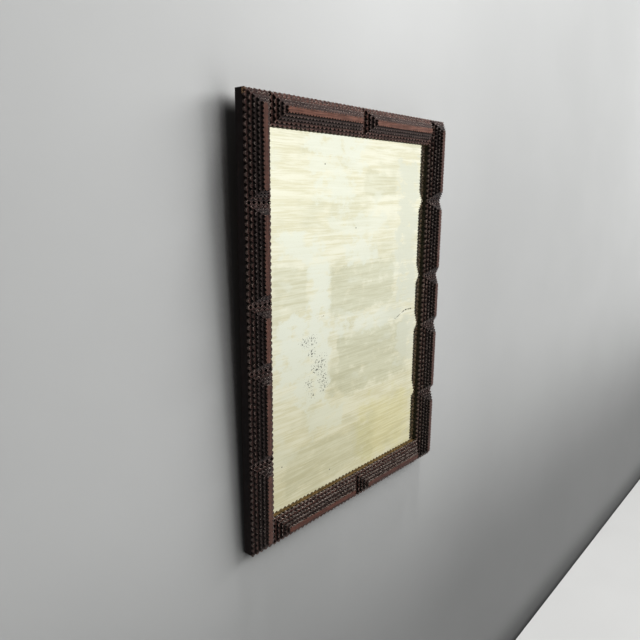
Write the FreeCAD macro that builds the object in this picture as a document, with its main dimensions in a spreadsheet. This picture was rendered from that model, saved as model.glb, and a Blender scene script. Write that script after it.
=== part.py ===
import FreeCAD, Part
import math
import os
import re
import Sketcher

# Tramp art wall mirror. X runs to the right, Z up, and the front faces -Y.
# The origin is the middle of the back plane, y = 0, which faces the wall.
# Each base board carries stacks of five notched strips, every strip narrower and
# shorter than the one it is glued to, so that a stack is a long stepped pyramid.

LAYERS = 5

SIZES = {
    # Base frame of four rebated boards, half-lapped at the corners
    "frame_height": 700.0,
    "frame_width": 514.0,
    "board_width": 46.8,
    "board_thickness": 15.0,
    "lap_depth": 7.5,
    "rebate_width": 8.0,
    "sight_lip": 3.3,
    # Notched strips, with the stile's joints between stacks measured from its middle
    "strip_thickness": 4.2,
    "cap_width": 10.0,
    "end_step": 4.6,
    "joint_step": 4.0,
    "butt_gap": 0.3,
    "outer_joint": 198.0,
    "inner_joint": 50.5,
    "coarse_pitch": 9.6,
    "coarse_notch": 3.5,
    "fine_pitch": 7.2,
    "fine_notch": 2.7,
    "cap_pitch": 6.2,
    "cap_notch": 2.2,
    # Glass and the boards behind it
    "glass_thickness": 2.5,
    "glass_clearance": 1.0,
    "backing_thickness": 5.0,
    "backing_clearance": 1.5,
    "backing_gap": 0.6,
    # Headless brads that hold the backing, driven into the walls of the rebate
    "brad_radius": 0.7,
    "brad_length": 16.0,
    "brad_point": 2.0,
    "brad_bite": 8.0,
    "brad_clearance": 0.05,
    "brad_margin": 75.0,
    "stile_brads": 4,
    "rail_brads": 3,
    # Strap hangers with a swinging ring
    "hanger_height": 205.0,
    "strap_width": 10.0,
    "strap_thickness": 1.0,
    "strap_margin": 8.0,
    "ring_wire": 1.2,
    "ring_clearance": 0.1,
    "ring_side_clearance": 0.5,
    "ring_corner": 2.5,
    "ring_arm": 2.5,
    # Round-head screws in the straps
    "screw_radius": 1.5,
    "screw_clearance": 0.2,
    "screw_length": 11.0,
    "screw_point": 3.0,
    "screw_gap": 2.7,
    "screw_spacing": 15.0,
    "head_radius": 3.1,
    "head_height": 1.9,
    "head_round": 1.2,
    "slot_width": 0.8,
    "slot_depth": 0.9,
}

NOTCHING = ("coarse", "coarse", "fine", "fine", "cap")

doc = FreeCAD.newDocument("TrampArtMirror")
sheet = doc.addObject("Spreadsheet::Sheet", "Sizes")
for row, (alias, value) in enumerate(SIZES.items(), start=1):
    sheet.set("A%d" % row, alias)
    sheet.set("B%d" % row, str(value))
    sheet.setAlias("B%d" % row, alias)
doc.recompute()


def named(expression):
    """Write each alias in an expression as a cell of the sheet."""
    return re.sub("[a-z_]+", lambda word: "Sizes." * (word[0] in SIZES) + word[0], expression)


def bind(thing, **expressions):
    for key, expression in expressions.items():
        thing.setExpression(key, named(expression))


def bind_place(thing, x="0", y="0", z="0"):
    for axis, expression in zip("xyz", (x, y, z)):
        thing.setExpression(".Placement.Base." + axis, named(expression))


def bind_offset(feature, x="0", y="0", z="0"):
    for axis, expression in zip("xyz", (x, y, z)):
        feature.setExpression(".AttachmentOffset.Base." + axis, named(expression))


def new_body(label):
    body = doc.addObject("PartDesign::Body", label)
    body.Label = label
    return body


def origin_of(body, role):
    return next(item for item in body.Origin.OriginFeatures if item.Role == role)


def attach(body, feature, plane):
    feature.AttachmentSupport = (origin_of(body, plane), [""])
    feature.MapMode = "FlatFace"


def rectangle(body, width, height, x="0", y="0", z="0"):
    """A rectangle about a point x, y seen from the front and z in front of the back plane."""
    sketch = body.newObject("Sketcher::SketchObject", body.Name + "_outline")
    attach(body, sketch, "XZ_Plane")
    corners = [FreeCAD.Vector(a, b, 0) for a, b in ((-5, -5), (5, -5), (5, 5), (-5, 5))]
    for index in range(4):
        sketch.addGeometry(Part.LineSegment(corners[index], corners[(index + 1) % 4]), False)
    for index in range(4):
        sketch.addConstraint(Sketcher.Constraint("Coincident", index, 2, (index + 1) % 4, 1))
        direction = "Vertical" if index % 2 else "Horizontal"
        sketch.addConstraint(Sketcher.Constraint(direction, index))
    sketch.addConstraint(Sketcher.Constraint("Symmetric", 0, 1, 1, 2, -1, 1))
    wide = sketch.addConstraint(Sketcher.Constraint("DistanceX", 0, 1, 0, 2, 10.0))
    high = sketch.addConstraint(Sketcher.Constraint("DistanceY", 1, 1, 1, 2, 10.0))
    sketch.setExpression("Constraints[%d]" % wide, named(width))
    sketch.setExpression("Constraints[%d]" % high, named(height))
    bind_offset(sketch, x, y, z)
    return sketch


def pad(body, sketch, length):
    feature = body.newObject("PartDesign::Pad", body.Name + "_pad")
    feature.Profile = sketch
    bind(feature, Length=length)
    return feature


def pocket(body, sketch, length):
    """Cut from the sketch towards the back, and make sure that it took wood away."""
    doc.recompute()
    before = body.Shape.Volume
    feature = body.newObject("PartDesign::Pocket", body.Name + "_pocket")
    feature.Profile = sketch
    bind(feature, Length=length)
    doc.recompute()
    if not body.Shape.Volume < before:
        raise RuntimeError(feature.Name + " cut nothing")
    return feature


def repeat(body, feature, axis, length, count, mirror_plane=None):
    """Repeat a cut along an axis of the body, and on the far side of its middle too."""
    row = body.newObject("PartDesign::LinearPattern", feature.Name + "_row")
    row.Direction = (origin_of(body, axis), [""])
    bind(row, Length=length, Occurrences=count)
    if mirror_plane is None:
        row.Originals = [feature]
        body.Tip = row
        return row
    far_side = body.newObject("PartDesign::Mirrored", feature.Name + "_far_side")
    far_side.MirrorPlane = (origin_of(body, mirror_plane), [""])
    both = body.newObject("PartDesign::MultiTransform", feature.Name + "_both")
    both.Originals = [feature]
    both.Transformations = [row, far_side]
    body.Tip = both
    return both


def round_bar(body, kind, plane, radius, length, x="0", y="0", z="0"):
    bar = body.newObject("PartDesign::%sCylinder" % kind, body.Name + "_" + kind.lower())
    attach(body, bar, plane)
    bind(bar, Radius=radius, Height=length)
    bind_offset(bar, x, y, z)
    return bar


def mirrored(source, label, normal):
    copy = doc.addObject("Part::Mirroring", label)
    copy.Label = label
    copy.Source = source
    copy.Normal = normal
    return copy


def group(label, pieces):
    compound = doc.addObject("Part::Compound", label)
    compound.Label = label
    compound.Links = pieces
    return compound


ACROSS = FreeCAD.Vector(1, 0, 0)
UP = FreeCAD.Vector(0, 0, 1)

# Sizes that several pieces share, in terms of the sheet
REBATE_DEPTH = "(board_thickness - sight_lip)"
OPENING_WIDTH = "(frame_width - 2 * (board_width - rebate_width))"
OPENING_HEIGHT = "(frame_height - 2 * (board_width - rebate_width))"
BACKING_FACE = "(board_thickness - sight_lip - glass_thickness - backing_thickness)"
BRAD_DEPTH = "(%s - brad_radius - brad_clearance)" % BACKING_FACE
BRAD_HOLE = "brad_radius + brad_clearance"
HANGER_X = "((board_width - rebate_width) / 2 - frame_width / 2)"
KNUCKLE = "(ring_wire + ring_clearance + strap_thickness)"
RING_SIDE = "(strap_width / 2 + ring_side_clearance + ring_corner)"
RING_ARM_END = "(ring_corner + ring_arm)"
SCREW_DROP = "(%s + %s + ring_wire + screw_gap + head_radius)" % (RING_ARM_END, RING_SIDE)


def brad_row(opening, count, index="0"):
    """Place of a brad in a row, counted from the low end, and the length of the row."""
    length = "(%s - 2 * brad_margin)" % opening
    return "%s * (%s / (%s - 1) - 1 / 2)" % (length, index, count), length


def stile():
    """Left board, full height, whose ends are cut away in front for the rails."""
    body = new_body("left_stile_board")
    pad(body, rectangle(body, "board_width", "frame_height"), "board_thickness")
    for sign in ("", "0 - "):
        end = rectangle(body, "board_width", "board_width",
                        y=sign + "(frame_height - board_width) / 2", z="board_thickness")
        pocket(body, end, "board_thickness - lap_depth")
    rebate = rectangle(body, "rebate_width", OPENING_HEIGHT,
                       x="(board_width - rebate_width) / 2", z=REBATE_DEPTH)
    pocket(body, rebate, REBATE_DEPTH)
    lowest, row_length = brad_row(OPENING_HEIGHT, "stile_brads")
    hole = round_bar(body, "Subtractive", "YZ_Plane", BRAD_HOLE, "brad_bite + brad_clearance",
                     x="0 - " + BRAD_DEPTH, y=lowest,
                     z="board_width / 2 - rebate_width - brad_bite - brad_clearance")
    repeat(body, hole, "Z_Axis", row_length, "stile_brads")
    screw_hole = round_bar(body, "Subtractive", "XZ_Plane", "screw_radius + brad_clearance",
                           "screw_length - strap_thickness + brad_clearance",
                           x="0 - rebate_width / 2",
                           y="hanger_height - %s - screw_spacing" % SCREW_DROP)
    repeat(body, screw_hole, "Z_Axis", "screw_spacing", "2")
    bind_place(body, x="(board_width - frame_width) / 2")
    return body


def rail():
    """Top board, full width, whose ends are cut away behind for the stiles."""
    body = new_body("top_rail_board")
    pad(body, rectangle(body, "frame_width", "board_width"), "board_thickness")
    for sign in ("", "0 - "):
        end = rectangle(body, "board_width", "board_width",
                        x=sign + "(frame_width - board_width) / 2", z="lap_depth")
        pocket(body, end, "lap_depth")
    rebate = rectangle(body, OPENING_WIDTH, "rebate_width",
                       y="(rebate_width - board_width) / 2", z=REBATE_DEPTH)
    pocket(body, rebate, REBATE_DEPTH)
    leftmost, row_length = brad_row(OPENING_WIDTH, "rail_brads")
    hole = round_bar(body, "Subtractive", "XY_Plane", BRAD_HOLE, "brad_bite + brad_clearance",
                     x=leftmost, y="0 - " + BRAD_DEPTH, z="rebate_width - board_width / 2")
    repeat(body, hole, "X_Axis", row_length, "rail_brads")
    bind_place(body, z="(frame_height - board_width) / 2")
    return body


def panel(label, width, height, thickness, front, middle="0"):
    """A plain sheet in the rebate, its front face a given depth in front of the back plane."""
    body = new_body(label)
    pad(body, rectangle(body, width, height), thickness)
    bind_place(body, y="0 - (%s - %s)" % (front, thickness), z=middle)
    return body


def glass():
    return panel("mirror_glass", OPENING_WIDTH + " - 2 * glass_clearance",
                 OPENING_HEIGHT + " - 2 * glass_clearance", "glass_thickness", REBATE_DEPTH)


def backing():
    """Three thin boards that lie across the frame, one above the other."""
    height = "((%s - 2 * backing_clearance - 2 * backing_gap) / 3)" % OPENING_HEIGHT
    width = OPENING_WIDTH + " - 2 * backing_clearance"
    front = "(%s - glass_thickness)" % REBATE_DEPTH
    places = (("top", "%s + backing_gap" % height), ("middle", "0"),
              ("bottom", "0 - %s - backing_gap" % height))
    return [panel("backing_board_" + name, width, height, "backing_thickness", front, middle)
            for name, middle in places]


def strip(label, layer, span, upright):
    """One notched strip, stepped in at each end and each side by its place in the stack."""
    start, start_step, finish, finish_step = span
    body = new_body(label)
    low = "(%s + %d * %s)" % (start, layer, start_step)
    high = "(%s - %d * %s)" % (finish, layer, finish_step)
    length = "(%s - %s)" % (high, low)
    width = "(board_width - (board_width - cap_width) * %d / %d)" % (layer, LAYERS - 1)
    pad(body, rectangle(body, length, width), "strip_thickness")
    for axis, mirror_plane, along, across in (("Z_Axis", "YZ_Plane", width, length),
                                              ("X_Axis", "XY_Plane", length, width)):
        count = "round(%s / %s_pitch)" % (along, NOTCHING[layer])
        spacing = "%s / %s" % (along, count)
        places = ["(%s - %s) / 2" % (spacing, along), across + " / 2"]
        if axis == "Z_Axis":
            places.reverse()
        notch = body.newObject("PartDesign::SubtractivePrism", label + "_notch")
        notch.Polygon = 4
        attach(body, notch, "XZ_Plane")
        bind(notch, Circumradius=NOTCHING[layer] + "_notch", Height="3 * strip_thickness")
        bind_offset(notch, x=places[0], y=places[1], z="0 - strip_thickness")
        repeat(body, notch, axis, "%s - %s" % (along, spacing), count, mirror_plane)
    middle = "(%s + %s) / 2" % (low, high)
    behind = "0 - board_thickness - %d * strip_thickness" % layer
    if upright:
        body.Placement = FreeCAD.Placement(FreeCAD.Vector(), FreeCAD.Rotation(0, -90, 0))
        bind_place(body, x="(board_width - frame_width) / 2", y=behind, z=middle)
    else:
        bind_place(body, x=middle, y=behind, z="(frame_height - board_width) / 2")
    return body


def stack(name, span, upright):
    """Five strips as three nodes: the two coarse ones, the two fine ones and the cap."""
    strips = [strip("%s_strip_%d" % (name, layer + 1), layer, span, upright)
              for layer in range(LAYERS)]
    strips[-1].Label = name + "_cap_strip"
    return {"lower_strips": group(name + "_lower_strips", strips[0:2]),
            "middle_strips": group(name + "_middle_strips", strips[2:4]),
            "cap_strip": strips[-1]}


def mirrored_stack(source, name, normal):
    return {part: mirrored(thing, name + "_" + part, normal) for part, thing in source.items()}


def stacks():
    """Five stacks up each stile, numbered from the top, and two along each rail."""
    end = "frame_height / 2"
    spans = {
        1: ("outer_joint + butt_gap / 2", "joint_step", end, "end_step"),
        2: ("inner_joint + butt_gap / 2", "joint_step", "outer_joint - butt_gap / 2", "joint_step"),
        3: ("butt_gap / 2 - inner_joint", "joint_step", "inner_joint - butt_gap / 2", "joint_step"),
    }
    left = {number: stack("left_stile_%d" % number, span, True)
            for number, span in spans.items()}
    for number in (4, 5):
        left[number] = mirrored_stack(left[6 - number], "left_stile_%d" % number, UP)
    right = {number: mirrored_stack(source, "right_stile_%d" % number, ACROSS)
             for number, source in left.items()}
    rail_span = ("board_width + butt_gap - frame_width / 2", "end_step",
                 "0 - butt_gap / 2", "end_step")
    top = {1: stack("top_rail_1", rail_span, False)}
    top[2] = mirrored_stack(top[1], "top_rail_2", ACROSS)
    bottom = {number: mirrored_stack(source, "bottom_rail_%d" % number, UP)
              for number, source in top.items()}
    return [part for side in (left, right, top, bottom)
            for one in side.values() for part in one.values()]


def brad(label, x, z, turn):
    """A headless brad that lies on the backing, with its point in the wall of the rebate."""
    body = new_body(label)
    round_bar(body, "Additive", "XY_Plane", "brad_radius", "brad_length - brad_point")
    point = body.newObject("PartDesign::AdditiveCone", label + "_point")
    attach(body, point, "XY_Plane")
    bind(point, Radius1="brad_radius", Radius2="brad_radius / 4", Height="brad_point")
    bind_offset(point, z="brad_length - brad_point")
    body.Placement = FreeCAD.Placement(FreeCAD.Vector(), turn)
    bind_place(body, x=x, y="0 - " + BRAD_DEPTH, z=z)
    return body


def brads():
    to_the_left = FreeCAD.Rotation(FreeCAD.Vector(0, 1, 0), -90)
    upwards = FreeCAD.Rotation()
    left = group("left_brads", [
        brad("left_brad_%d" % index, "brad_length - brad_bite - %s / 2" % OPENING_WIDTH,
             brad_row(OPENING_HEIGHT, "stile_brads", str(index))[0], to_the_left)
        for index in range(int(sheet.stile_brads))])
    top = group("top_brads", [
        brad("top_brad_%d" % index, brad_row(OPENING_WIDTH, "rail_brads", str(index))[0],
             "%s / 2 + brad_bite - brad_length" % OPENING_HEIGHT, upwards)
        for index in range(int(sheet.rail_brads))])
    return group("backing_brads", [left, mirrored(left, "right_brads", ACROSS),
                                   top, mirrored(top, "bottom_brads", UP)])


def strap():
    """Flat strap whose upper end is rolled round the ring's straight bar."""
    body = new_body("left_hanger_strap")
    drop = "(%s + screw_spacing + strap_margin - strap_width / 2)" % SCREW_DROP
    plate = rectangle(body, "strap_width", drop, y="0 - %s / 2" % drop, z="0 - strap_thickness")
    pad(body, plate, "strap_thickness")
    round_bar(body, "Additive", "XZ_Plane", "strap_width / 2", "strap_thickness",
              y="0 - " + drop, z="0 - strap_thickness")
    round_bar(body, "Additive", "YZ_Plane", KNUCKLE, "strap_width", x=KNUCKLE,
              z="0 - strap_width / 2")
    round_bar(body, "Subtractive", "YZ_Plane", "ring_wire + ring_clearance", "2 * strap_width",
              x=KNUCKLE, z="0 - strap_width")
    hole = round_bar(body, "Subtractive", "XZ_Plane", "screw_radius + screw_clearance",
                     "3 * strap_thickness", y="0 - %s - screw_spacing" % SCREW_DROP,
                     z="0 - 2 * strap_thickness")
    repeat(body, hole, "Z_Axis", "screw_spacing", "2")
    bind_place(body, x=HANGER_X, z="hanger_height")
    return body


def ring():
    """D-shaped wire ring that hangs down over its strap, its straight bar on the axis."""
    body = new_body("left_hanger_ring")
    corner = float(sheet.ring_corner)
    side = float(sheet.strap_width) / 2 + float(sheet.ring_side_clearance) + corner
    arm_end = -corner - float(sheet.ring_arm)

    def at(x, z):
        return FreeCAD.Vector(x, z, 0)

    def arc(centre_x, centre_z, radius, first, last):
        circle = Part.Circle(at(centre_x, centre_z), FreeCAD.Vector(0, 0, 1), radius)
        return Part.ArcOfCircle(circle, first, last)

    quarter = math.pi / 2
    path = body.newObject("Sketcher::SketchObject", "ring_path")
    attach(body, path, "XZ_Plane")
    path.addGeometry([
        Part.LineSegment(at(0, 0), at(side - corner, 0)),
        arc(side - corner, -corner, corner, 0, quarter),
        Part.LineSegment(at(side, -corner), at(side, arm_end)),
        arc(0, arm_end, side, 2 * quarter, 4 * quarter),
        Part.LineSegment(at(-side, arm_end), at(-side, -corner)),
        arc(corner - side, -corner, corner, quarter, 2 * quarter),
        Part.LineSegment(at(corner - side, 0), at(0, 0)),
    ], False)
    section = body.newObject("Sketcher::SketchObject", "ring_section")
    attach(body, section, "YZ_Plane")
    section.addGeometry(Part.Circle(at(0, 0), FreeCAD.Vector(0, 0, 1), 1.0), False)
    section.addConstraint(Sketcher.Constraint("Coincident", 0, 3, -1, 1))
    radius = section.addConstraint(Sketcher.Constraint("Radius", 0, 1.0))
    section.setExpression("Constraints[%d]" % radius, named("ring_wire"))
    wire = body.newObject("PartDesign::AdditivePipe", "ring_wire_pipe")
    wire.Profile = section
    wire.Spine = (path, ["Edge%d" % (index + 1) for index in range(7)])
    bind_place(body, x=HANGER_X, y=KNUCKLE, z="hanger_height")
    return body


def screw(label, drop):
    """Round-head screw whose head sits on the strap."""
    body = new_body(label)
    head = round_bar(body, "Additive", "XZ_Plane", "head_radius", "head_height",
                     z="0 - head_height")
    doc.recompute()
    rim = [index for index, edge in enumerate(head.Shape.Edges, start=1)
           if edge.isClosed() and edge.CenterOfMass.y > sheet.head_height / 2]
    dome = body.newObject("PartDesign::Fillet", label + "_dome")
    dome.Base = (head, ["Edge%d" % index for index in rim])
    bind(dome, Radius="head_round")
    round_bar(body, "Additive", "XZ_Plane", "screw_radius", "screw_length - screw_point")
    point = body.newObject("PartDesign::AdditiveCone", label + "_point")
    attach(body, point, "XZ_Plane")
    bind(point, Radius1="screw_radius", Radius2="screw_radius / 8", Height="screw_point")
    bind_offset(point, z="screw_length - screw_point")
    slot = rectangle(body, "3 * head_radius", "slot_width", z="slot_depth - head_height")
    pocket(body, slot, "2 * slot_depth")
    bind_place(body, x=HANGER_X, y="strap_thickness", z="hanger_height - " + drop)
    return body


def hangers():
    """Left hanger and its mirror image, each a strap, a ring and two screws."""
    left = [strap(), ring(), group("left_hanger_screws", [
        screw("left_screw_upper", SCREW_DROP),
        screw("left_screw_lower", "(%s + screw_spacing)" % SCREW_DROP)])]
    right = [mirrored(thing, thing.Label.replace("left", "right"), ACROSS) for thing in left]
    return left + right


def boards():
    left = stile()
    top = rail()
    return [left, mirrored(left, "right_stile_board", ACROSS),
            top, mirrored(top, "bottom_rail_board", UP)]


nodes = boards() + [glass()] + backing() + [brads()] + stacks() + hangers()
doc.recompute()

for thing in doc.Objects:
    if "Invalid" in thing.State or "Error" in thing.State:
        raise RuntimeError("%s: %s" % (thing.Label, thing.State))

for node in nodes:
    if node.Shape.isNull() or not node.Shape.isValid():
        raise RuntimeError(node.Label + " has no valid shape")

os.makedirs("parts", exist_ok=True)
for node in nodes:
    node.Shape.exportStep("parts/%s.step" % node.Label)
    print(node.Label, len(node.Shape.Solids), "solids", round(node.Shape.Volume), "mm3")
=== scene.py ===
import math
import random

import bmesh
import bpy
from mathutils import Matrix, Vector

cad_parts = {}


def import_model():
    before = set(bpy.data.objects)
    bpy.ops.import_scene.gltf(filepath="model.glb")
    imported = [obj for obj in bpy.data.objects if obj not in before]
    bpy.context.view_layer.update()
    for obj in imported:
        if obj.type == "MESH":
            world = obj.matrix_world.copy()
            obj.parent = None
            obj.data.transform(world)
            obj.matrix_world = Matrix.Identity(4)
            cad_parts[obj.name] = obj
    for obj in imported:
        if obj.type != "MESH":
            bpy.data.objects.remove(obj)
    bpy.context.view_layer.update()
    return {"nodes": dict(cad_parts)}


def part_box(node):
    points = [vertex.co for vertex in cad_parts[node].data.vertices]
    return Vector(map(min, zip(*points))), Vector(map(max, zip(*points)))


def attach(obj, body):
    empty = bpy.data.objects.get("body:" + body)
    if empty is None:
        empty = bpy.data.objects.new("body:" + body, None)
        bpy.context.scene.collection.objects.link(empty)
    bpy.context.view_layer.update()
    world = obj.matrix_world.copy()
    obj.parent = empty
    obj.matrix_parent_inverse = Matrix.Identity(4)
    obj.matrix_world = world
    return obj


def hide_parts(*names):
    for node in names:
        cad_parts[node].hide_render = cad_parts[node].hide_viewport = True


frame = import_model()

MM = 0.001
FLOOR_Z = -1.2
# The frame's foot touches the wall, and its top leans out by this slope.
LEAN = 0.0338
FOOT_Z = -0.350
# How far the stage reaches sideways and up, and the camera that matches the photograph.
STAGE_REACH = 4
WALL_TOP = 3
CAMERA_PLACE = (-0.8030, -0.6460, 0.2114)
CAMERA_ANGLES = (48.161, -12.176, 0.407)
CAMERA_LENS = 33.0
AMBIENT = 0.09
# Reaches of the ambient occlusion: grime and painted shade in the wood's crevices, and the wall's
# painted dark gap and soft shadow.
SHADE_AND_GRIME_REACH = 6 * MM
GAP_REACH = 60 * MM
SHADOW_REACH = 170 * MM
EDGE_ROUND = 0.3 * MM


# Shader nodes

class Maker:
    """Adds nodes to a material. Inputs are sockets, numbers, vectors or colours."""

    def __init__(self, name):
        self.material = bpy.data.materials.new(name)
        self.material.use_nodes = True
        self.tree = self.material.node_tree
        self.shader = self.tree.nodes["Principled BSDF"]
        self.place = self.node("TexCoord", "Object")

    def put(self, socket, value):
        if isinstance(value, bpy.types.NodeSocket):
            self.tree.links.new(value, socket)
        elif socket.type == "RGBA" and len(value) == 3:
            socket.default_value = (*value, 1)
        else:
            socket.default_value = value

    def node(self, kind, output=0, inputs=None, **settings):
        node = self.tree.nodes.new("ShaderNode" + kind)
        for key, value in settings.items():
            setattr(node, key, value)
        for key, value in (inputs or {}).items():
            self.put(node.inputs[key], value)
        return node.outputs[output]

    def math(self, operation, first, second=0.0):
        return self.node("Math", inputs={0: first, 1: second}, operation=operation)

    def times(self, vector, factors):
        return self.node("VectorMath", inputs={0: vector, 1: factors}, operation="MULTIPLY")

    def noise(self, scale, detail=3.0, vector=None, rough=0.5, distort=0.0):
        """Noise whose scale is in features per metre, one number or one for each axis."""
        if not isinstance(scale, (int, float)):
            vector, scale = self.times(vector or self.place, scale), 1.0
        return self.node("TexNoise", inputs={
            "Vector": vector or self.place, "Scale": scale, "Detail": detail,
            "Roughness": rough, "Distortion": distort})

    def fit(self, value, low, high, to_low=0.0, to_high=1.0, kind="SMOOTHSTEP"):
        return self.node("MapRange", inputs={0: value, 1: low, 2: high, 3: to_low, 4: to_high},
                         interpolation_type=kind)

    def mix(self, factor, first, second, blend="MIX"):
        node = self.tree.nodes.new("ShaderNodeMix")
        node.data_type = "RGBA"
        node.blend_type = blend
        for index, value in ((0, factor), (6, first), (7, second)):
            self.put(node.inputs[index], value)
        return node.outputs[2]

    def attribute(self, name):
        return self.node("Attribute", "Fac", attribute_name=name)

    def part(self, letter, vector=None):
        """One coordinate of a place on the object, in metres."""
        return self.node("SeparateXYZ", letter, {0: vector or self.place})

    def blob(self, centre, soft, size=(0, 0, 0), ragged=0.0, grain=None):
        """1 in a box round a point, falling to 0 over the width soft, with a ragged rim."""
        away = self.node("VectorMath", inputs={0: self.place, 1: centre}, operation="SUBTRACT")
        away = self.node("VectorMath", inputs={0: away}, operation="ABSOLUTE")
        away = self.node("VectorMath", inputs={0: away, 1: size}, operation="SUBTRACT")
        away = self.node("VectorMath", inputs={0: away, 1: (0, 0, 0)}, operation="MAXIMUM")
        far = self.node("VectorMath", "Value", {0: away}, operation="LENGTH")
        if ragged:
            far = self.math("ADD", far, self.fit(grain, 0.3, 0.7, -ragged, ragged, "LINEAR"))
        return self.fit(far, 0, soft, 1, 0)

    def patches(self, covered, places, soft, ragged, grain):
        """The most of what is covered and of a list of patches: centre, half size, strength."""
        for centre, size, share in places:
            patch = self.math("MULTIPLY", share, self.blob(centre, soft, size, ragged, grain))
            covered = self.math("MAXIMUM", covered, patch)
        return covered

    def occlusion(self, reach, samples):
        return self.node("AmbientOcclusion", "AO", {"Distance": reach}, samples=samples)

    def bump(self, height, distance, strength=1.0, under=None):
        inputs = {"Height": height, "Distance": distance, "Strength": strength}
        if under is not None:
            inputs["Normal"] = under
        return self.node("Bump", inputs=inputs)

    def finish(self, **values):
        for key, value in values.items():
            self.put(self.shader.inputs[key.replace("_", " ")], value)
        return self.material


# The chipped corner, and the inner edges of the boards.
CHIP = (-0.257, -0.016, 0.3465)
SIGHT_X = -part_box("left_stile_board")[1].x
SIGHT_Z = -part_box("bottom_rail_board")[1].z
# Patches on the glass: centre, half size and strength.
OLIVE_PATCHES = [
    ((0.022, 0, 0.050), (0.085, 1, 0.034), 0.9),
    ((0.058, 0, -0.083), (0.100, 1, 0.046), 1.0),
    ((-0.048, 0, -0.105), (0.018, 1, 0.020), 0.9),
    ((-0.162, 0, 0.066), (0.030, 1, 0.026), 0.6),
    ((-0.020, 0, 0.190), (0.045, 1, 0.012), 0.4),
    ((0.063, 0, 0.228), (0.038, 1, 0.012), 0.6),
    ((-0.060, 0, -0.245), (0.110, 1, 0.025), 0.6),
]
PALE_PATCHES = [
    ((-0.060, 0, 0.290), (0.060, 1, 0.012), 0.8),
    ((-0.055, 0, 0.258), (0.060, 1, 0.004), 0.6),
    ((-0.059, 0, 0.221), (0.034, 1, 0.012), 0.7),
    ((0.157, 0, 0.140), (0.022, 1, 0.120), 0.9),
    ((0.160, 0, -0.070), (0.020, 1, 0.034), 0.8),
    ((-0.160, 0, 0.137), (0.018, 1, 0.006), 0.8),
    ((-0.125, 0, 0.120), (0.018, 1, 0.007), 0.8),
    ((-0.095, 0, 0.055), (0.014, 1, 0.036), 0.85),
    ((-0.132, 0, -0.035), (0.052, 1, 0.042), 0.9),
    ((-0.115, 0, -0.100), (0.028, 1, 0.028), 0.9),
    ((0.045, 0, -0.014), (0.085, 1, 0.003), 0.75),
    ((0.012, 0, 0.115), (0.034, 1, 0.009), 0.75),
    ((-0.075, 0, -0.168), (0.034, 1, 0.012), 0.75),
    ((0.010, 0, 0.160), (0.070, 1, 0.006), 0.6),
]
# Where the silvering has gone in a sprinkle: centre, half size and width of its thin rim.
SPECK_CLUSTERS = [
    ((-0.122, 0, -0.024), (0.013, 1, 0.002), 0.020),
    ((-0.114, 0, -0.046), (0.002, 1, 0.002), 0.018),
    ((-0.098, 0, -0.072), (0.008, 1, 0.008), 0.024),
    ((-0.119, 0, -0.100), (0.003, 1, 0.004), 0.020),
    ((-0.086, 0, -0.105), (0.003, 1, 0.010), 0.020),
    ((-0.114, 0, -0.119), (0.004, 1, 0.001), 0.014),
    ((-0.091, 0, 0.011), (0.008, 1, 0), 0.008),
]
SPECKS = [(-0.085, 0, 0.257), (-0.0035, 0, 0.154), (-0.066, 0, -0.272), (-0.185, 0, -0.225)]


def along(axis, across, length):
    """Scale of a grain that runs along X or Z."""
    return (length, across, across) if axis == "x" else (across, across, length)


def chipped(m):
    """The one spot, at a corner, where the stain is knocked off."""
    return m.blob(CHIP, 1.5 * MM, (1.5 * MM, 2 * MM, 3.5 * MM), 1 * MM, m.noise(500, 2))


def bare_wood(m):
    """Wood under the stain, where the chip shows it."""
    return m.mix(m.fit(m.noise(300, 3), 0.35, 0.65), (0.42, 0.26, 0.15), (0.24, 0.13, 0.08))


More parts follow.
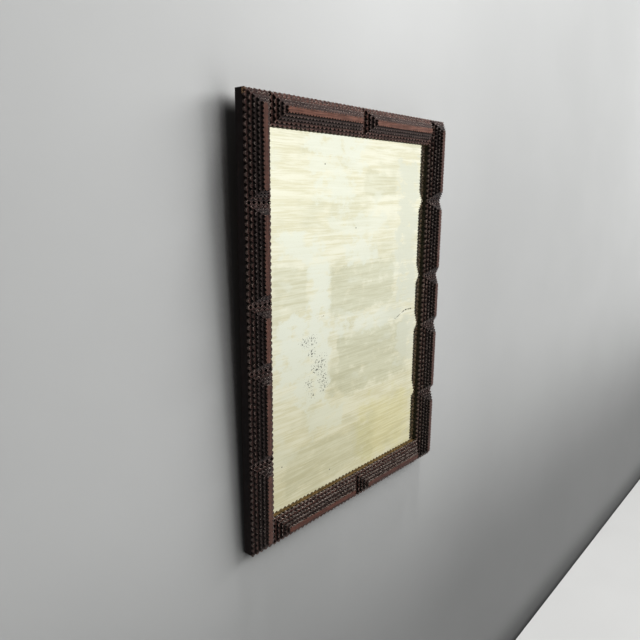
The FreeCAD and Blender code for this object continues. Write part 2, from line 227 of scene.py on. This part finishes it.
def carved_wood(name, axis, dark, light, worn, stile_shade, lit_side):
    """Old stained wood: grain along the strip, worn edges, grime and painted shade in the notches,
    and painted shade on the cut sides.

    The rails darken downward as painted shade, and the stiles darken to the right. On the stiles,
    lit_side is how far a painted sheen greys the cut sides that face left. Faces that look up get
    dust and a painted sheen.
    """
    m = Maker(name)
    grain = m.noise(along(axis, 900, 35), 5, rough=0.6, distort=0.4)
    colour = m.mix(m.fit(grain, 0.32, 0.68), dark, light)
    # Painted shade: the rails darken downward as the light falls off; the stiles darken to the
    # right.
    if axis == "x":
        darkening = m.fit(m.part("Z"), -0.35, 0.3, 1, 0, "LINEAR")
        colour = m.mix(darkening, colour, (0.46, 0.31, 0.25), "MULTIPLY")
    else:
        darkening = m.fit(m.part("X"), -0.3, 0.3, 0.7, 1, "LINEAR")
        colour = m.mix(darkening, colour, stile_shade, "MULTIPLY")
    normal = m.node("NewGeometry", "Normal")
    side = m.attribute("side")
    # Painted sheen: on the stiles, cut sides that face left are greyed lighter and their painted
    # shade lessened.
    if axis == "z":
        lit = m.math("MULTIPLY", side, m.fit(m.part("X", normal), -0.75, -0.4, lit_side, 0))
        side = m.math("SUBTRACT", side, lit)
        colour = m.mix(m.math("MULTIPLY", lit, 0.75), colour, (0.185, 0.125, 0.105))
    # Painted shade: the cut sides are darker than the front faces.
    colour = m.mix(side, colour, (0.42, 0.36, 0.34), "MULTIPLY")
    tone = m.fit(m.attribute("tone"), 0, 1, 0, 0.6)
    colour = m.mix(tone, colour, (0.55, 0.5, 0.5), "MULTIPLY")
    cloud = m.fit(m.noise(55, 3), 0.4, 0.7, 0, 0.6)
    colour = m.mix(cloud, colour, (0.5, 0.45, 0.42), "MULTIPLY")
    # Grime and painted shade: near black where the notches and steps are occluded.
    shade_and_grime = m.occlusion(SHADE_AND_GRIME_REACH, 8)
    colour = m.mix(m.fit(shade_and_grime, 0.45, 0.95, 0.97, 0), colour, (0.003, 0.002, 0.002))
    # Faces that look up get dust and a painted sheen.
    dust_and_sheen = m.math("MULTIPLY", m.fit(m.part("Z", normal), 0.3, 0.85),
                  m.fit(m.noise(240, 4), 0.4, 0.62, 0.1, 0.7))
    colour = m.mix(dust_and_sheen, colour, (0.27, 0.225, 0.20))
    rubbed = m.math("MULTIPLY", m.attribute("wear"), m.fit(m.noise(160, 4), 0.4, 0.6, 0, 0.85))
    colour = m.mix(rubbed, colour, worn)
    colour = m.mix(chipped(m), colour, bare_wood(m))
    rough = m.fit(m.noise(260, 3), 0.3, 0.7, 0.4, 0.6, "LINEAR")
    relief = m.bump(grain, 0.12 * MM, 0.5)
    relief = m.bump(m.noise(420, 3), 0.2 * MM, 0.5, relief)
    return m.finish(Base_Color=colour, Roughness=rough, Specular_IOR_Level=0.28, Normal=relief)


def board_wood(name, axis):
    """Near-black stained board: scuffs, a bare chip, a raw back, and a sight edge by the glass that
    is golden with painted light on the rails and near black as painted shade on the stiles.
    """
    m = Maker(name)
    grain = m.noise(along(axis, 500, 12), 5, rough=0.6)
    colour = m.mix(m.fit(grain, 0.3, 0.7), (0.005, 0.0035, 0.0035), (0.014, 0.008, 0.007))
    scuff = m.fit(m.noise(120, 4), 0.6, 0.75, 0, 0.5)
    colour = m.mix(scuff, colour, (0.045, 0.022, 0.015))
    colour = m.mix(chipped(m), colour, bare_wood(m))
    raw = m.mix(m.fit(grain, 0.3, 0.7), (0.055, 0.032, 0.020), (0.15, 0.092, 0.055))
    raw = m.mix(m.fit(m.noise(14, 4), 0.4, 0.65, 0, 0.7), raw, (0.030, 0.018, 0.013))
    backward = m.fit(m.part("Y", m.node("NewGeometry", "Normal")), 0.5, 0.9)
    colour = m.mix(backward, colour, raw)
    inside = m.math("MULTIPLY",
                    m.math("LESS_THAN", m.math("ABSOLUTE", m.part("X")), SIGHT_X + 0.2 * MM),
                    m.math("LESS_THAN", m.math("ABSOLUTE", m.part("Z")), SIGHT_Z + 0.2 * MM))
    # The sight edge: golden on the rails, partly painted light, and near black on the stiles as
    # painted shade.
    dull, bright = ((0.055, 0.033, 0.012), (0.120, 0.075, 0.031)) if axis == "x" else (
        (0.010, 0.010, 0.006), (0.022, 0.020, 0.012))
    gold = m.mix(m.fit(m.noise(along(axis, 900, 20), 4), 0.3, 0.7), dull, bright)
    gold = m.mix(m.fit(m.noise(140, 3), 0.48, 0.7, 0, 0.8), gold, (0.03, 0.02, 0.012))
    colour = m.mix(inside, colour, gold)
    rough = m.fit(m.noise(90, 3), 0.3, 0.7, 0.5, 0.7, "LINEAR")
    relief = m.bump(grain, 0.1 * MM, 0.35)
    return m.finish(Base_Color=colour, Roughness=rough, Specular_IOR_Level=0.1, Normal=relief)


def backing_wood(name):
    """Rough-sawn softwood with rings and knots, browned by age, with grime and painted shade along
    its joints.
    """
    m = Maker(name)
    bend = m.noise((3, 1, 12), 2)
    phase = m.math("ADD", m.math("MULTIPLY", m.part("Z"), 420), m.math("MULTIPLY", bend, 60))
    rings = m.math("SINE", phase)
    grain = m.noise((9, 300, 420), 6, rough=0.7, distort=0.4)
    colour = m.mix(m.fit(grain, 0.3, 0.72), (0.15, 0.088, 0.046), (0.33, 0.22, 0.125))
    colour = m.mix(m.fit(rings, -0.2, 0.9, 0, 0.45), colour, (0.13, 0.070, 0.036))
    knots = m.node("TexVoronoi", "Distance", {
        "Vector": m.times(m.place, (5, 1, 9)), "Scale": 1.0})
    colour = m.mix(m.fit(knots, 0.02, 0.1, 0.75, 0), colour, (0.07, 0.035, 0.018))
    stains = m.fit(m.noise(9, 4), 0.4, 0.7, 0, 0.6)
    colour = m.mix(stains, colour, (0.42, 0.38, 0.34), "MULTIPLY")
    # Grime and painted shade where the backing is occluded, along joints and under parts.
    shade_and_grime = m.occlusion(SHADE_AND_GRIME_REACH, 8)
    colour = m.mix(m.fit(shade_and_grime, 0.45, 0.9, 0.7, 0), colour, (0.03, 0.018, 0.012))
    relief = m.bump(grain, 0.25 * MM, 0.6, m.bump(rings, 0.15 * MM, 0.4))
    return m.finish(Base_Color=colour, Roughness=0.82, Normal=relief)


def scratch(m):
    """A broken line that rises and flattens towards the right edge of the glass."""
    height = m.fit(m.part("X"), 0.118, 0.162, -0.0250, -0.0122)
    away = m.math("ABSOLUTE", m.math("SUBTRACT", m.part("Z"), height))
    wobble = m.fit(m.noise((150, 1, 150), 3), 0.4, 0.7, -0.6 * MM, 1.2 * MM, "LINEAR")
    line = m.fit(m.math("ADD", away, wobble), 0.4 * MM, 1.2 * MM, 1, 0)
    line = m.math("MULTIPLY", line, m.blob((0.153, 0, -0.018), 2 * MM, (0.029, 1, 0.01)))
    return m.math("MULTIPLY", line, m.fit(m.noise(300, 3), 0.40, 0.48))


def antique_mirror():
    """Old silvering: wiped golden streaks, olive patches, milky patches painted darker to the right
    as shade, dark specks, a scratch.
    """
    m = Maker("antique_mirror")
    grain = m.noise((30, 1, 45), 4, rough=0.65)
    streak = m.noise((6, 1, 80), 6, rough=0.7, distort=0.8)
    fine = m.noise((10, 1, 280), 4, rough=0.65, distort=0.5)
    cloud = m.noise((13, 1, 22), 3, rough=0.5)
    wiped = m.math("ADD", m.math("MULTIPLY", streak, 0.55), m.math("MULTIPLY", fine, 0.45))
    colour = m.mix(m.fit(wiped, 0.42, 0.58), (0.98, 0.97, 0.77), (0.84, 0.81, 0.57))
    olive = m.patches(m.fit(cloud, 0.5, 0.68, 0, 0.45), OLIVE_PATCHES, 0.018, 0.014, grain)
    dull = m.mix(m.fit(wiped, 0.40, 0.62), (0.79, 0.79, 0.58), (0.65, 0.64, 0.44))
    colour = m.mix(olive, colour, dull)
    pale = m.patches(m.fit(cloud, 0.30, 0.42, 0.5, 0), PALE_PATCHES, 0.018, 0.022, grain)
    # Milky silvering in the pale patches, painted darker towards the right as shade.
    milky_and_shaded = m.mix(m.fit(m.part("X"), 0.05, 0.14), (0.92, 0.95, 0.80), (0.80, 0.82, 0.66))
    colour = m.mix(pale, colour, milky_and_shaded)
    yellow = m.fit(m.part("Z"), -0.28, 0.02, 0.9, 0)
    colour = m.mix(yellow, colour, (0.96, 0.92, 0.77), "MULTIPLY")
    amber = m.blob((0.100, 0, -0.235), 0.06, (0.05, 1, 0.03), 0.03, grain)
    colour = m.mix(m.math("MULTIPLY", amber, 0.7), colour, (0.98, 0.95, 0.72), "MULTIPLY")
    near = 0.0
    for centre, size, soft in SPECK_CLUSTERS:
        near = m.math("MAXIMUM", near, m.blob(centre, soft, size, 0.3 * soft, grain))
    flecks = m.math("ADD", m.noise((240, 1, 300), 5, rough=0.75), m.math("MULTIPLY", near, 0.155))
    specks = m.math("MULTIPLY", m.fit(flecks, 0.70, 0.72), m.fit(near, 0, 0.15))
    for centre in SPECKS:
        specks = m.math("MAXIMUM", specks, m.blob(centre, 1.0 * MM, (0.6 * MM, 1, 0.4 * MM)))
    specks = m.math("MAXIMUM", specks, scratch(m))
    colour = m.mix(specks, colour, (0.012, 0.012, 0.010))
    rough = m.fit(streak, 0.3, 0.7, 0.03, 0.09, "LINEAR")
    return m.finish(Base_Color=colour, Metallic=1.0, Roughness=rough, Coat_Weight=1.0,
                    Coat_Roughness=0.02)


def metal(name, colour, tarnish, rough):
    """Metal with spots of duller, rougher tarnish."""
    m = Maker(name)
    spots = m.fit(m.noise(420, 5, rough=0.65), 0.42, 0.66)
    shade = m.mix(spots, colour, tarnish)
    return m.finish(Base_Color=shade, Metallic=m.fit(spots, 0, 1, 1, 0.55),
                    Roughness=m.fit(spots, 0, 1, rough, rough + 0.3),
                    Normal=m.bump(spots, 0.03 * MM, 0.4))


# Pieces

def corner_loop(front):
    """The outline of a set of flat front faces, in order round the strip."""
    rim = [edge for face in front for edge in face.edges
           if sum(other in front for other in edge.link_faces) == 1]
    follow = {}
    for edge in rim:
        for here, there in (edge.verts, reversed(edge.verts)):
            follow.setdefault(here, []).append(there)
    start = min(follow, key=lambda vert: (round(vert.co.x, 6), round(vert.co.z, 6)))
    loop, last = [start], None
    while True:
        onward = next(vert for vert in follow[loop[-1]] if vert is not last)
        last = loop[-1]
        if onward is start:
            break
        loop.append(onward)
    points = [Vector((vert.co.x, vert.co.z)) for vert in loop]
    area = sum(points[i - 1].cross(points[i]) for i in range(len(points)))
    return points if area > 0 else points[::-1]


def outlines(node):
    """Each strip of a node as its outline, front and back, read from the CAD solid."""
    mesh = bmesh.new()
    mesh.from_mesh(frame["nodes"][node].data)
    bmesh.ops.remove_doubles(mesh, verts=mesh.verts, dist=1e-6)
    levels = {}
    for face in mesh.faces:
        if face.normal.y < -0.999:
            levels.setdefault(round(face.calc_center_median().y, 5), set()).add(face)
    found = [(level, corner_loop(front)) for level, front in levels.items()]
    mesh.free()
    return found


def carve(outline, seed):
    """Front and back outline of a strip as a knife leaves it: no two notches alike."""
    rng = random.Random(seed)
    front, back = [], []
    count = len(outline)
    for index, here in enumerate(outline):
        before, after = outline[index - 1], outline[(index + 1) % count]
        arriving, leaving = (here - before).normalized(), (after - here).normalized()
        inward = Vector((-1, 1)) * (arriving + leaving).normalized().yx
        if arriving.cross(leaving) < 0:
            slip = (arriving + leaving).normalized() * rng.gauss(0, 0.16) * MM
            deep = here + inward * rng.gauss(0.05, 0.2) * MM + slip
            front.append(deep)
            back.append(deep - inward * abs(rng.gauss(0.1, 0.12)) * MM)
        elif (before - here).length > 1.2 * MM and rng.random() < 0.09:
            nick = rng.uniform(0.3, 0.8) * MM
            pair = [here - arriving * nick, here + leaving * nick * rng.uniform(0.5, 1)]
            front += pair
            back += pair
        else:
            tip = here + inward * rng.uniform(0, 0.18) * MM
            front.append(tip)
            back.append(tip)
    return front, back


def carved_strips(node, seed):
    """The strips of one node, with knife-cut notches and softened front edges.

    Face attributes: wear on the softened edges, side on the cut sides, a tone for each strip.
    """
    front_y, back_y = (corner.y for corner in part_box("left_stile_1_cap_strip"))
    mesh = bmesh.new()
    wear = mesh.faces.layers.float.new("wear")
    tone = mesh.faces.layers.float.new("tone")
    side = mesh.faces.layers.float.new("side")
    for order, (level, outline) in enumerate(outlines(node)):
        front, back = carve(outline, seed * 10 + order)
        rings = [[mesh.verts.new((p.x, y, p.y)) for p in ring]
                 for y, ring in ((level, front), (level + back_y - front_y, back))]
        count = len(front)
        top = mesh.faces.new(rings[0])
        made = [top, mesh.faces.new(rings[1][::-1])]
        made += [mesh.faces.new((rings[0][i], rings[0][i - 1], rings[1][i - 1], rings[1][i]))
                 for i in range(count)]
        value = random.Random(seed * 10 + order).random()
        for face in made:
            face[tone] = value
            face[side] = face is not top
        before = set(mesh.faces)
        result = bmesh.ops.bevel(mesh, geom=list(top.edges), offset=EDGE_ROUND, segments=2,
                                 profile=0.6, affect="EDGES", clamp_overlap=True)
        for face in result["faces"]:
            if face not in before:
                face[wear] = 1.0
                face[tone] = value
                face[side] = 0.0
    bmesh.ops.recalc_face_normals(mesh, faces=mesh.faces)
    data = bpy.data.meshes.new(node + "_carved")
    mesh.to_mesh(data)
    mesh.free()
    piece = bpy.data.objects.new(node + "_carved", data)
    bpy.context.scene.collection.objects.link(piece)
    return piece


# Stage, lamps and camera

def plane(name, corners, material):
    data = bpy.data.meshes.new(name)
    data.from_pydata(corners, [], [(0, 1, 2, 3)])
    data.materials.append(material)
    piece = bpy.data.objects.new(name, data)
    bpy.context.scene.collection.objects.link(piece)
    return piece


def pale(name, colour):
    """Plain pale paint: its maker and its material."""
    m = Maker(name)
    shade = m.mix(m.fit(m.noise(3, 3), 0.35, 0.65), colour, [0.97 * c for c in colour])
    return m, m.finish(Base_Color=shade, Roughness=0.9)


def wall():
    """Pale wall that the leaning frame's foot touches, open from behind to show the back.

    It has painted shade: black in the gap behind the frame, a soft painted shadow to the left of
    and below it, and painted shade darkening it towards the bottom and the right.
    """
    m, material = pale("wall_paint", (0.50, 0.505, 0.50))
    paint = m.shader.inputs["Base Color"].links[0].from_socket
    # Painted shadow from ambient occlusion: the dark gap behind the frame and the soft shadow near
    # it.
    gap = m.occlusion(GAP_REACH, 16)
    near = m.occlusion(SHADOW_REACH, 16)
    left = m.fit(m.part("X"), -0.28, -0.24, 1, 0)
    shaded = m.math("MAXIMUM", left, m.fit(m.part("Z"), -0.36, -0.32, 1, 0))
    above = m.math("MULTIPLY", m.fit(m.part("Z"), 0.32, 0.35), m.math("SUBTRACT", 1.0, left))
    # Painted shade: the wall darkens towards the bottom and the right.
    level = m.math("MULTIPLY", m.fit(m.part("Z"), -0.85, -0.12, 0.44, 1),
                   m.fit(m.part("X"), 0.05, 0.6, 1, 0.84))
    # Painted soft shadow to the left of and below the frame.
    soft = m.math("MULTIPLY", shaded, m.fit(near, 0.62, 0.98, 0.6, 0))
    level = m.math("MULTIPLY", level, m.math("SUBTRACT", 1.0, soft))
    paint = m.times(paint, m.node("CombineXYZ", inputs={0: level, 1: level, 2: level}))
    # Painted shadow: black in the gap behind the frame, but not above the top rail.
    dark = m.math("MULTIPLY", m.fit(gap, 0.54, 0.82, 0.99, 0), m.math("SUBTRACT", 1.0, above))
    m.put(m.shader.inputs["Base Color"], m.mix(dark, paint, (0, 0, 0)))
    output = m.tree.nodes["Material Output"]
    behind = m.node("NewGeometry", "Backfacing")
    clear = m.node("BsdfTransparent")
    m.put(output.inputs["Surface"], m.node("MixShader", inputs={
        0: behind, 1: m.shader.outputs[0], 2: clear}))
    low, high = ((z - FOOT_Z) * LEAN + 0.2 * MM for z in (FLOOR_Z, WALL_TOP))
    piece = plane("wall", [(-STAGE_REACH, low, FLOOR_Z), (STAGE_REACH, low, FLOOR_Z),
                           (STAGE_REACH, high, WALL_TOP), (-STAGE_REACH, high, WALL_TOP)], material)
    piece.visible_diffuse = piece.visible_glossy = piece.visible_shadow = False


def floor():
    material = pale("floor_paint", (0.55, 0.55, 0.54))[1]
    corners = [(-STAGE_REACH, -STAGE_REACH), (STAGE_REACH, -STAGE_REACH),
               (STAGE_REACH, STAGE_REACH), (-STAGE_REACH, STAGE_REACH)]
    plane("floor", [(x, y, FLOOR_Z) for x, y in corners], material).visible_glossy = False


def lamp(name, place, target, width, height, watts, seen=False):
    """A rectangular area light, seen in reflections only where it says so."""
    data = bpy.data.lights.new(name, "AREA")
    data.shape = "RECTANGLE"
    data.size = width
    data.size_y = height
    data.energy = watts
    piece = bpy.data.objects.new(name, data)
    piece.location = place
    piece.rotation_euler = (Vector(target) - Vector(place)).to_track_quat("-Z", "Y").to_euler()
    piece.visible_glossy = seen
    bpy.context.scene.collection.objects.link(piece)


def world():
    """Weak light from all round. Camera and gloss see a bright room, duller towards the wall."""
    studio = bpy.data.worlds.new("studio")
    studio.use_nodes = True
    bpy.context.scene.world = studio
    m = Maker.__new__(Maker)
    m.tree = studio.node_tree
    m.place = m.node("TexCoord", "Generated")
    path = m.tree.nodes.new("ShaderNodeLightPath").outputs
    room = m.fit(m.part("Z"), -0.5, 0.0, 0.62, 1.0, "LINEAR")
    wallward = m.fit(m.part("Y"), -0.05, 0.2, 0, 0.6)
    duller = m.math("MULTIPLY", wallward, path["Is Glossy Ray"])
    room = m.math("MULTIPLY", room, m.math("SUBTRACT", 1.0, duller))
    seen = m.math("MAXIMUM", path["Is Camera Ray"], m.math("MAXIMUM", path["Is Glossy Ray"],
                                                          path["Is Transmission Ray"]))
    strength = m.node("Mix", inputs={0: seen, 2: AMBIENT, 3: room})
    sky = m.tree.nodes["Background"]
    m.put(sky.inputs["Strength"], strength)
    m.put(sky.inputs["Color"], (1, 1, 1))


def camera():
    yaw, pitch, roll = (math.radians(angle) for angle in CAMERA_ANGLES)
    forward = Vector((math.sin(yaw) * math.cos(pitch), math.cos(yaw) * math.cos(pitch),
                      math.sin(pitch)))
    right = Vector((math.cos(yaw), -math.sin(yaw), 0))
    up = right.cross(forward)
    across = right * math.cos(roll) + up * math.sin(roll)
    upward = up * math.cos(roll) - right * math.sin(roll)
    data = bpy.data.cameras.new("camera")
    data.sensor_width = 36
    data.lens = CAMERA_LENS
    piece = bpy.data.objects.new("camera", data)
    turn = Matrix((across, upward, -forward)).transposed().to_4x4()
    piece.matrix_world = Matrix.Translation(CAMERA_PLACE) @ turn
    bpy.context.scene.collection.objects.link(piece)
    bpy.context.scene.camera = piece


for name in ("Cube", "Light", "Camera"):
    if name in bpy.data.objects:
        bpy.data.objects.remove(bpy.data.objects[name])

LAYER_LOOKS = {
    "lower_strips": dict(
        dark=(0.036, 0.015, 0.011), light=(0.185, 0.092, 0.074), worn=(0.52, 0.41, 0.35),
        stile_shade=(0.36, 0.33, 0.34), lit_side=0.9),
    "middle_strips": dict(
        dark=(0.026, 0.016, 0.014), light=(0.128, 0.078, 0.068), worn=(0.52, 0.43, 0.38),
        stile_shade=(0.24, 0.22, 0.24), lit_side=0.1),
    "cap_strip": dict(
        dark=(0.082, 0.032, 0.020), light=(0.250, 0.117, 0.084), worn=(0.38, 0.24, 0.19),
        stile_shade=(0.36, 0.34, 0.35), lit_side=0.3),
}
woods = {(layer, axis): carved_wood("%s_%s" % (layer, axis), axis, **looks)
         for layer, looks in LAYER_LOOKS.items() for axis in "xz"}
boards = {axis: board_wood("base_%s" % axis, axis) for axis in "xz"}
mirror = antique_mirror()
raw_wood = backing_wood("backing_wood")
brass = metal("old_brass", (0.50, 0.35, 0.14), (0.10, 0.075, 0.045), 0.35)
steel = metal("dark_steel", (0.24, 0.23, 0.22), (0.07, 0.04, 0.025), 0.45)

for seed, (node, cad) in enumerate(sorted(frame["nodes"].items())):
    axis = "x" if "rail" in node else "z"
    layer = next((layer for layer in LAYER_LOOKS if node.endswith(layer)), None)
    if layer:
        piece = carved_strips(node, seed)
        piece.data.materials.append(woods[layer, axis])
        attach(piece, "frame")
        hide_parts(node)
        continue
    if node.endswith("_board"):
        material = boards[axis]
    elif node == "mirror_glass":
        material = mirror
    elif node.startswith("backing_board"):
        material = raw_wood
    elif "strap" in node or "ring" in node:
        material = brass
    else:
        material = steel
    for slot in cad.material_slots:
        slot.link = "OBJECT"
        slot.material = material

wall()
floor()
lamp("tall_window", (0.13, -1.6, 1.7), (0.13, 0, 1.7), 0.3, 3.0, 17)
lamp("right_window", (3.4, -2.2, 1.7), (0, 0, 0.1), 3.0, 1.6, 190)
lamp("ceiling", (0.25, -0.35, 2.0), (0, -0.1, 0.2), 0.5, 0.4, 38)
lamp("behind", (0.8, 1.8, 1.2), (0, 0, 0), 1.2, 1.2, 30, seen=True)
world()
camera()
bpy.context.scene.view_settings.view_transform = "Standard"
